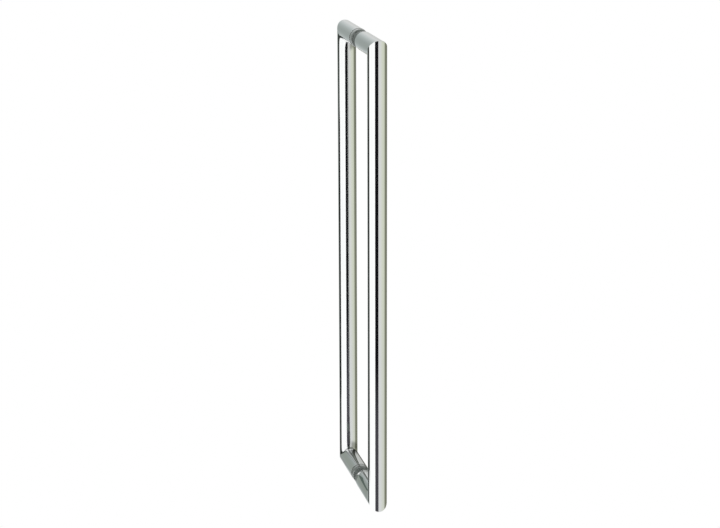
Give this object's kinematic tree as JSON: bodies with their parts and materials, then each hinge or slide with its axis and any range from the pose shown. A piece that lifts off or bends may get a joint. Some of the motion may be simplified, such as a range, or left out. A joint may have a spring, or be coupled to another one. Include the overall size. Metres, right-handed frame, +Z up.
{
  "type": "door pull",
  "caption": "Back-to-back tubular door pull for both faces of a door: D-shaped handles with mitred corners, drawn together through the door by concealed fixings on rubber gaskets.",
  "frame": {"origin": "middle of the door leaf's thickness, half way between the upper and lower fixings", "axes": "+Z up along the grip tubes, +Y through the door from the front handle to the rear handle, +X across both handles"},
  "size_m": [0.025, 0.195, 0.625],
  "materials": {
    "polished_steel": "mirror polished stainless steel",
    "turned_steel": "finely turned stainless steel",
    "black_rubber": "matt moulded black rubber, greyed by a bloom",
    "black_nylon": "plain moulded nylon",
    "fixing_steel": "plain machined steel",
    "bright_screw_steel": "bright satin steel"
  },
  "bodies": {
    "root": {"front_grip_tube": "polished_steel", "front_upper_leg_tube": "polished_steel", "front_lower_leg_tube": "polished_steel", "rear_grip_tube": "polished_steel", "rear_upper_leg_tube": "polished_steel", "rear_lower_leg_tube": "polished_steel", "front_upper_plug": "turned_steel", "front_lower_plug": "turned_steel", "rear_upper_plug": "turned_steel", "rear_lower_plug": "turned_steel", "front_upper_gasket": "black_rubber", "front_lower_gasket": "black_rubber", "rear_upper_gasket": "black_rubber", "rear_lower_gasket": "black_rubber", "upper_sleeve": "black_nylon", "lower_sleeve": "black_nylon", "upper_washer": "fixing_steel", "lower_washer": "fixing_steel", "upper_bolt": "fixing_steel", "lower_bolt": "fixing_steel", "upper_grub_screw": "bright_screw_steel", "lower_grub_screw": "bright_screw_steel"}
  },
  "joints": []
}
